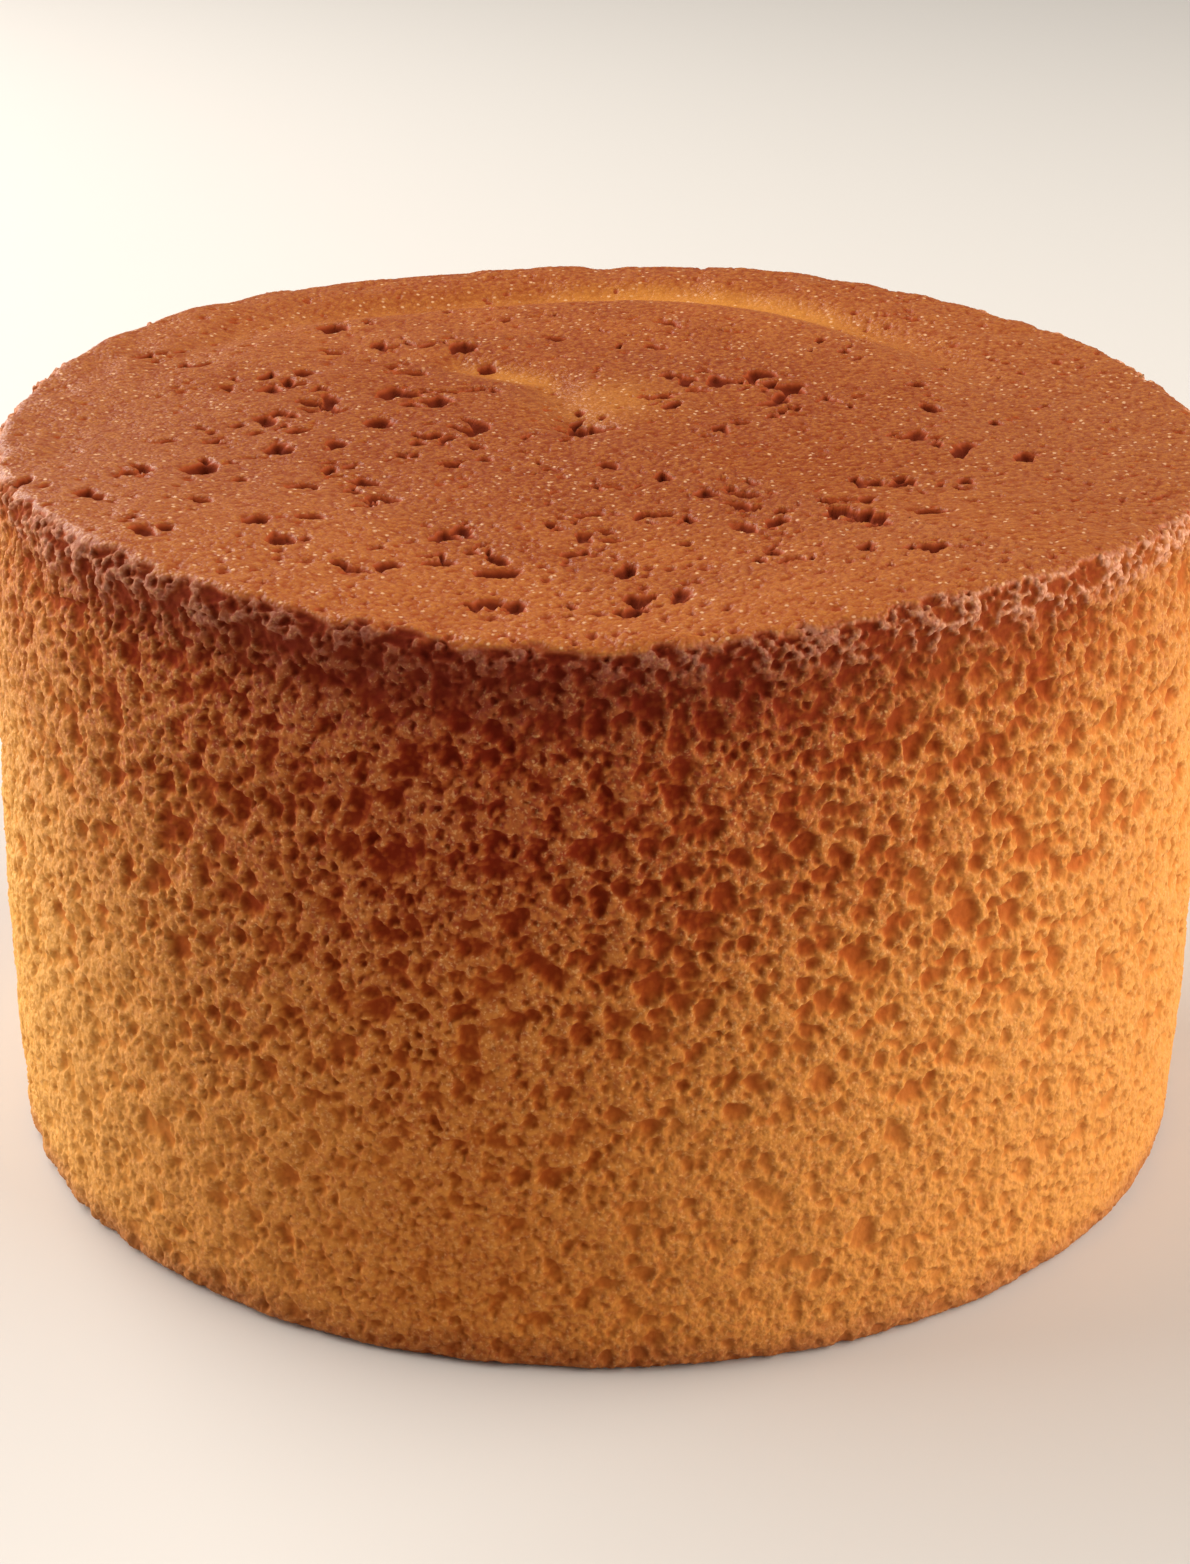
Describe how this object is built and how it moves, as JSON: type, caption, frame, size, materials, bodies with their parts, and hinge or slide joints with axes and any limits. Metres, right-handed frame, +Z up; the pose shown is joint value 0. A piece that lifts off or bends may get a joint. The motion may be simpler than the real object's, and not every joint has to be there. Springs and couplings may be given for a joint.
{
  "type": "genoise sponge cake",
  "caption": "Tall round genoise sponge cake, whole and uncut, with porous golden sides and a thin browned top crust marked by burst bubbles and a crease along the back.",
  "frame": {"origin": "middle of the flat base, where the cake rests", "axes": "+Z up through the middle of the cake, -Y towards the side that faces the viewer, +X to the viewer's right"},
  "size_m": [0.1874, 0.1862, 0.1118],
  "materials": {
    "crumb": "dry, matt, porous baked crumb, golden on the side and browned at the rim, the top and the foot"
  },
  "bodies": {
    "root": {"sponge_cake": "crumb"}
  },
  "joints": []
}
